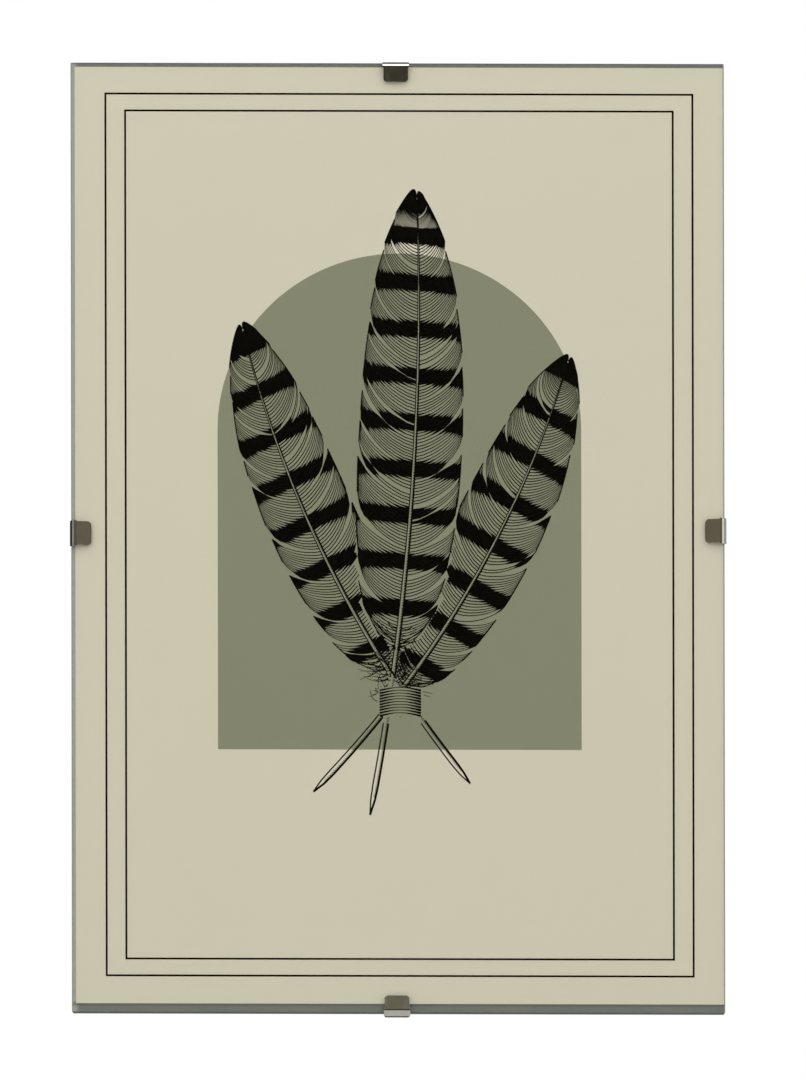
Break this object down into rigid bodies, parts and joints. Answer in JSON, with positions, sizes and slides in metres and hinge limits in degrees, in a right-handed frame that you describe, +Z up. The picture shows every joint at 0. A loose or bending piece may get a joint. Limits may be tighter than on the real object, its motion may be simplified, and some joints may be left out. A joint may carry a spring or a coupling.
{
  "type": "clip frame",
  "caption": "Frameless picture frame: glass pane, printed sheet and hardboard back pinched together by sliding spring clips at mid-side, with swinging wire ring hangers riveted behind.",
  "frame": {"origin": "on the wall plane, behind the centre of the glass", "axes": "+Z up along the longer side, +X to the right of someone who looks at the picture, +Y into the wall; the picture faces -Y"},
  "size_m": [0.6029, 0.0128, 0.9036],
  "materials": {
    "glass": "clear float glass, ground edges with a faint green tint",
    "print_paper": "matt coated paper, printed in olive and black on beige",
    "hardboard": "pressed wood fibre, smooth front, screen texture on the back",
    "clip_steel": "spring steel, polished nickel plate",
    "hanger_steel": "pressed steel, bright zinc plate",
    "ring_steel": "drawn wire, bright zinc plate",
    "rivet_steel": "turned steel, dull"
  },
  "bodies": {
    "frame": {"front_glass": "glass", "print_sheet": "print_paper", "back_board": "hardboard", "hanger_strap_top_left": "hanger_steel", "hanger_rivet_top_left": "rivet_steel", "hanger_washer_top_left": "rivet_steel", "hanger_strap_top_right": "hanger_steel", "hanger_rivet_top_right": "rivet_steel", "hanger_washer_top_right": "rivet_steel", "hanger_strap_side_upper": "hanger_steel", "hanger_rivet_side_upper": "rivet_steel", "hanger_washer_side_upper": "rivet_steel", "hanger_strap_side_lower": "hanger_steel", "hanger_rivet_side_lower": "rivet_steel", "hanger_washer_side_lower": "rivet_steel"},
    "clip_top": {"clip_top": "clip_steel"},
    "clip_bottom": {"clip_bottom": "clip_steel"},
    "clip_left": {"clip_left": "clip_steel"},
    "clip_right": {"clip_right": "clip_steel"},
    "ring_top_left": {"hanger_ring_top_left": "ring_steel"},
    "ring_top_right": {"hanger_ring_top_right": "ring_steel"},
    "ring_side_upper": {"hanger_ring_side_upper": "ring_steel"},
    "ring_side_lower": {"hanger_ring_side_lower": "ring_steel"}
  },
  "joints": [
    {"name": "clip_top_slide", "type": "slide", "parent": "frame", "child": "clip_top", "axis": [0, 0, 1], "range_m": [0, 0.03]},
    {"name": "clip_bottom_slide", "type": "slide", "parent": "frame", "child": "clip_bottom", "axis": [0, 0, -1], "range_m": [0, 0.03]},
    {"name": "clip_left_slide", "type": "slide", "parent": "frame", "child": "clip_left", "axis": [-1, 0, 0], "range_m": [0, 0.03]},
    {"name": "clip_right_slide", "type": "slide", "parent": "frame", "child": "clip_right", "axis": [1, 0, 0], "range_m": [0, 0.03]},
    {"name": "ring_top_left_swing", "type": "hinge", "parent": "frame", "child": "ring_top_left", "pos_m": [-0.15, -0.0021, 0.408], "axis": [1, 0, 0], "range_deg": [0, 175]},
    {"name": "ring_top_right_swing", "type": "hinge", "parent": "frame", "child": "ring_top_right", "pos_m": [0.15, -0.0021, 0.408], "axis": [1, 0, 0], "range_deg": [0, 175]},
    {"name": "ring_side_upper_swing", "type": "hinge", "parent": "frame", "child": "ring_side_upper", "pos_m": [0.258, -0.0021, 0.225], "axis": [0, 0, -1], "range_deg": [0, 175]},
    {"name": "ring_side_lower_swing", "type": "hinge", "parent": "frame", "child": "ring_side_lower", "pos_m": [0.258, -0.0021, -0.225], "axis": [0, 0, -1], "range_deg": [0, 175]}
  ]
}
